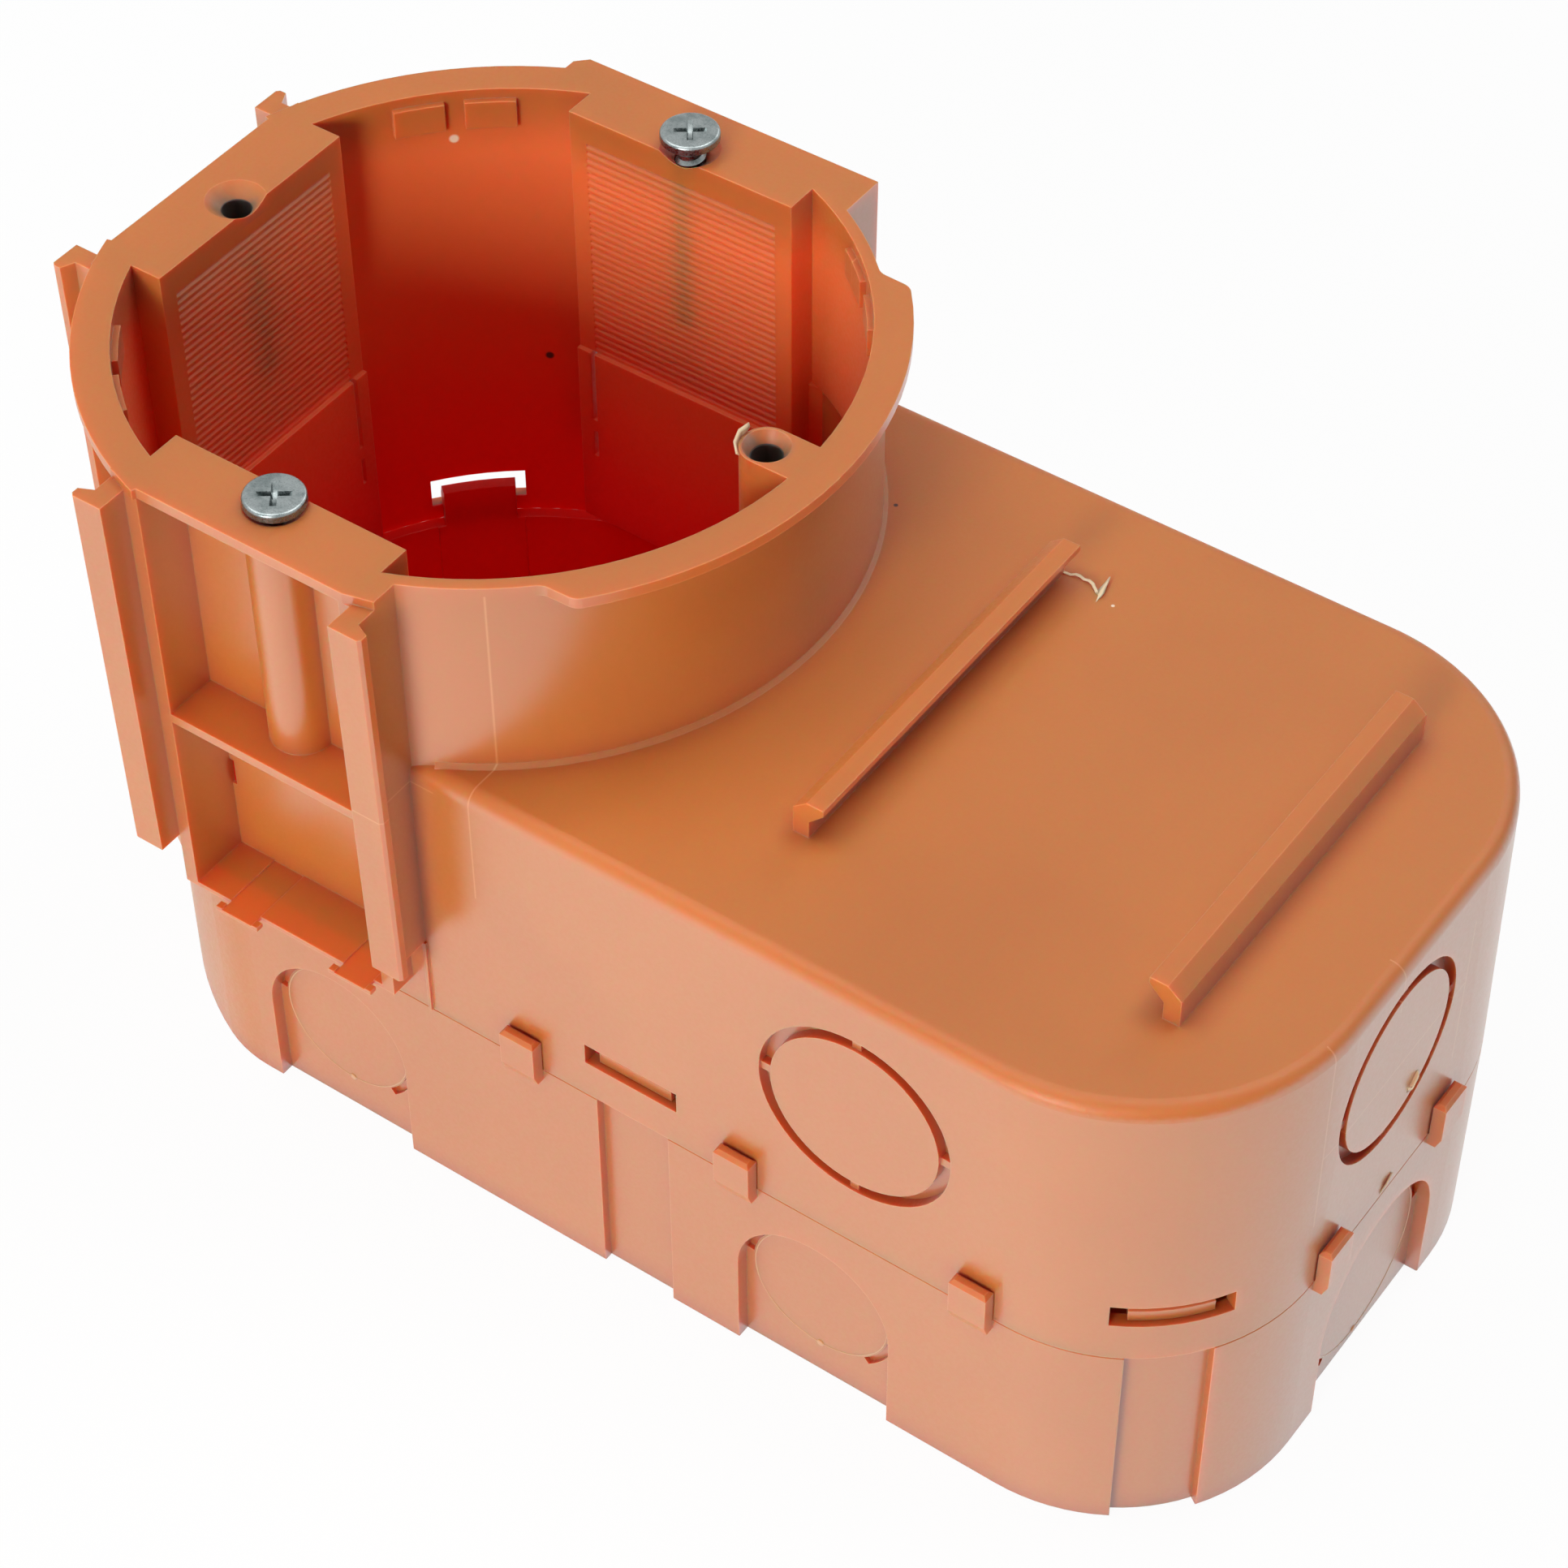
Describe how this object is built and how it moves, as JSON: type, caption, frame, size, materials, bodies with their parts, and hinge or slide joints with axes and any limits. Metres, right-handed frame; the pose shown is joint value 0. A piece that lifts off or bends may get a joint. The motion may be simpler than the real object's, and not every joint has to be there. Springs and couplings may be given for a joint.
{
  "type": "junction box",
  "caption": "Deep flush-mounting junction box: round device collar with screw ears and coupling rails over a side pocket, closed by a clip-on back tray.",
  "frame": {"origin": "on the collar axis at the flat back of the tray", "axes": "+Z out of the mouth, +X to the far end of the pocket, -Y to the side with the front screw"},
  "size_m": [0.137, 0.075, 0.0794],
  "materials": {
    "orange_plastic": "satin moulded thermoplastic",
    "zinc_steel": "bright zinc plate"
  },
  "bodies": {
    "housing": {"upper_shell": "orange_plastic", "lower_tray": "orange_plastic"},
    "front_screw": {"device_screw_front": "zinc_steel"},
    "rear_screw": {"device_screw_rear": "zinc_steel"}
  },
  "joints": [
    {"name": "front_screw_travel", "type": "slide", "parent": "housing", "child": "front_screw", "axis": [0, 0, 1], "range_m": [-0.0002, 0.0128]},
    {"name": "rear_screw_travel", "type": "slide", "parent": "housing", "child": "rear_screw", "axis": [0, 0, 1], "range_m": [-0.0012, 0.0118]}
  ]
}
